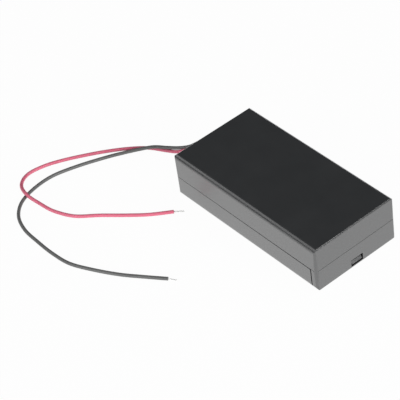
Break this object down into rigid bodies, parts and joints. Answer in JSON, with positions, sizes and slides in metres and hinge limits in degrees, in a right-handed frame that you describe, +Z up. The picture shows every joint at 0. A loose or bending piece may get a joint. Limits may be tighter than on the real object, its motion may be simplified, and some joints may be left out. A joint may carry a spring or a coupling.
{
  "type": "cylindrical cell holder",
  "caption": "Enclosed side-by-side holder for cylindrical cells, in black plastic, with a slide-off cover and two flying leads.",
  "frame": {"origin": "centre of the closed case's footprint, on the surface it lies on", "axes": "+X along the cells towards the latch window, +Y across the cells, +Z up from the cover to the plain broad face"},
  "size_m": [0.1147, 0.0817, 0.0173],
  "materials": {
    "case_plastic": "fine moulded texture",
    "plated_steel": "nickel plated",
    "solder": "satin",
    "tinned_copper": "satin",
    "red_pvc": "smooth",
    "black_pvc": "smooth"
  },
  "bodies": {
    "case": {"holder_body": "case_plastic", "positive_contact": "plated_steel", "negative_contact": "plated_steel", "negative_spring": "plated_steel", "bridge_contact": "plated_steel", "bridge_spring": "plated_steel", "positive_solder_joint": "solder", "negative_solder_joint": "solder", "red_lead": "red_pvc", "red_lead_root": "tinned_copper", "red_lead_tip": "tinned_copper", "black_lead": "black_pvc", "black_lead_root": "tinned_copper", "black_lead_tip": "tinned_copper"},
    "cover": {"cover": "case_plastic"}
  },
  "joints": [
    {"name": "cover_slide", "type": "slide", "parent": "case", "child": "cover", "axis": [-1, 0, 0], "range_m": [0, 0.0045]}
  ]
}
